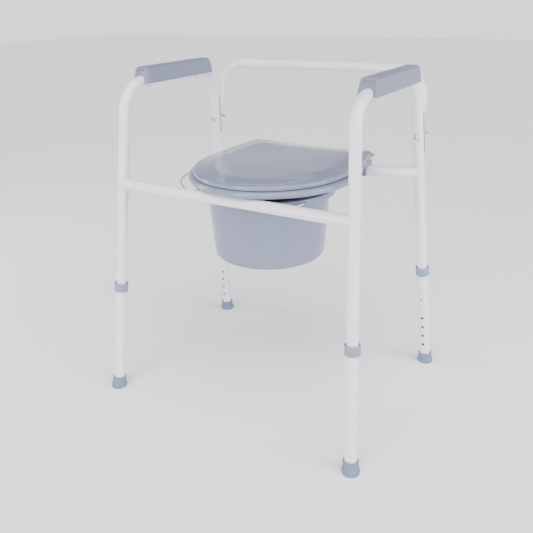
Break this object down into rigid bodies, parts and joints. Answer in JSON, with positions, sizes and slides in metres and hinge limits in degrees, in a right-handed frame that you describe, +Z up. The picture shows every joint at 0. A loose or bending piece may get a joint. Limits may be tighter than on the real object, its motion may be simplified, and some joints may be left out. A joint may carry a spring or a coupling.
{
  "type": "commode chair",
  "caption": "White tube-frame bedside commode chair with adjustable legs, padded arms, back bar, hinged seat ring and lid, and a lift-out pail.",
  "frame": {"origin": "on the floor, under the middle of the chair", "axes": "+Z up, -Y to the front of the chair, +X to a viewer's right when they look at its front"},
  "size_m": [0.6308, 0.4916, 0.7123],
  "materials": {
    "white_powder_coat": "glossy white powder coat on steel tube",
    "grey_gloss_plastic": "glossy injection-moulded blue-grey plastic",
    "pad_plastic": "satin blue-grey plastic",
    "collar_plastic": "satin blue-grey plastic",
    "foot_rubber": "moulded blue-grey rubber",
    "brass": "bright brass",
    "chrome": "bright plate",
    "bail_wire": "drawn steel wire",
    "spring_steel": "spring steel strip"
  },
  "bodies": {
    "frame": {"side_frame_left": "white_powder_coat", "side_frame_right": "white_powder_coat", "front_crossbar": "white_powder_coat", "rear_crossbar": "white_powder_coat", "pail_rest_front_left": "white_powder_coat", "pail_rest_rear_left": "white_powder_coat", "pail_rest_front_right": "white_powder_coat", "pail_rest_rear_right": "white_powder_coat", "back_bar": "white_powder_coat", "back_bolt_left": "chrome", "back_bolt_right": "chrome", "armrest_pad_left": "pad_plastic", "armrest_screw_front_left": "chrome", "armrest_screw_rear_left": "chrome", "armrest_pad_right": "pad_plastic", "armrest_screw_front_right": "chrome", "armrest_screw_rear_right": "chrome", "button_spring_front_left": "spring_steel", "button_spring_rear_left": "spring_steel", "button_spring_front_right": "spring_steel", "button_spring_rear_right": "spring_steel"},
    "leg_front_left": {"lower_leg_front_left": "white_powder_coat", "leg_collar_front_left": "collar_plastic", "rubber_foot_front_left": "foot_rubber"},
    "leg_front_right": {"lower_leg_front_right": "white_powder_coat", "leg_collar_front_right": "collar_plastic", "rubber_foot_front_right": "foot_rubber"},
    "leg_rear_left": {"lower_leg_rear_left": "white_powder_coat", "leg_collar_rear_left": "collar_plastic", "rubber_foot_rear_left": "foot_rubber"},
    "leg_rear_right": {"lower_leg_rear_right": "white_powder_coat", "leg_collar_rear_right": "collar_plastic", "rubber_foot_rear_right": "foot_rubber"},
    "button_front_left": {"snap_button_front_left": "brass"},
    "button_front_right": {"snap_button_front_right": "brass"},
    "button_rear_left": {"snap_button_rear_left": "brass"},
    "button_rear_right": {"snap_button_rear_right": "brass"},
    "wing_nut_left": {"wing_nut_left": "brass"},
    "wing_nut_right": {"wing_nut_right": "brass"},
    "seat": {"seat_ring": "grey_gloss_plastic"},
    "lid": {"seat_lid": "grey_gloss_plastic"},
    "pail": {"pail": "grey_gloss_plastic"},
    "bail": {"bail_handle": "bail_wire"}
  },
  "joints": [
    {"name": "leg_front_left_height", "type": "slide", "parent": "frame", "child": "leg_front_left", "axis": [-0.0714, -0.112, -0.9911], "range_m": [-0.125, 0.025]},
    {"name": "leg_front_right_height", "type": "slide", "parent": "frame", "child": "leg_front_right", "axis": [0.0714, -0.112, -0.9911], "range_m": [-0.125, 0.025]},
    {"name": "leg_rear_left_height", "type": "slide", "parent": "frame", "child": "leg_rear_left", "axis": [-0.0714, 0.112, -0.9911], "range_m": [-0.125, 0.025]},
    {"name": "leg_rear_right_height", "type": "slide", "parent": "frame", "child": "leg_rear_right", "axis": [0.0714, 0.112, -0.9911], "range_m": [-0.125, 0.025]},
    {"name": "button_front_left_press", "type": "slide", "parent": "frame", "child": "button_front_left", "axis": [0.008, -0.9937, 0.1117], "range_m": [0, 0.003], "stiffness_N_per_m": 1500, "springref_m": -0.002, "deforming": ["button_spring_front_left"]},
    {"name": "button_front_right_press", "type": "slide", "parent": "frame", "child": "button_front_right", "axis": [-0.008, -0.9937, 0.1117], "range_m": [0, 0.003], "stiffness_N_per_m": 1500, "springref_m": -0.002, "deforming": ["button_spring_front_right"]},
    {"name": "button_rear_left_press", "type": "slide", "parent": "frame", "child": "button_rear_left", "axis": [0.008, 0.9937, 0.1117], "range_m": [0, 0.003], "stiffness_N_per_m": 1500, "springref_m": -0.002, "deforming": ["button_spring_rear_left"]},
    {"name": "button_rear_right_press", "type": "slide", "parent": "frame", "child": "button_rear_right", "axis": [-0.008, 0.9937, 0.1117], "range_m": [0, 0.003], "stiffness_N_per_m": 1500, "springref_m": -0.002, "deforming": ["button_spring_rear_right"]},
    {"name": "wing_nut_left_turn", "type": "hinge", "parent": "frame", "child": "wing_nut_left", "pos_m": [-0.2565, 0.18263, 0.56807], "axis": [0.008, 0.9937, 0.1117], "continuous": true},
    {"name": "wing_nut_right_turn", "type": "hinge", "parent": "frame", "child": "wing_nut_right", "pos_m": [0.2565, 0.18263, 0.56807], "axis": [-0.008, 0.9937, 0.1117], "continuous": true},
    {"name": "seat_hinge", "type": "hinge", "parent": "frame", "child": "seat", "pos_m": [0, 0.141, 0.488], "axis": [-1, 0, 0], "range_deg": [0, 91]},
    {"name": "lid_hinge", "type": "hinge", "parent": "seat", "child": "lid", "pos_m": [0, 0.141, 0.488], "axis": [1, 0, 0], "range_deg": [-91, 0]},
    {"name": "pail_lift", "type": "slide", "parent": "frame", "child": "pail", "axis": [0, 0, 1], "range_m": [0, 0.01]},
    {"name": "bail_swing", "type": "hinge", "parent": "pail", "child": "bail", "pos_m": [0, -0.016, 0.4705], "axis": [0, 1, 0], "range_deg": [0, 3]}
  ]
}
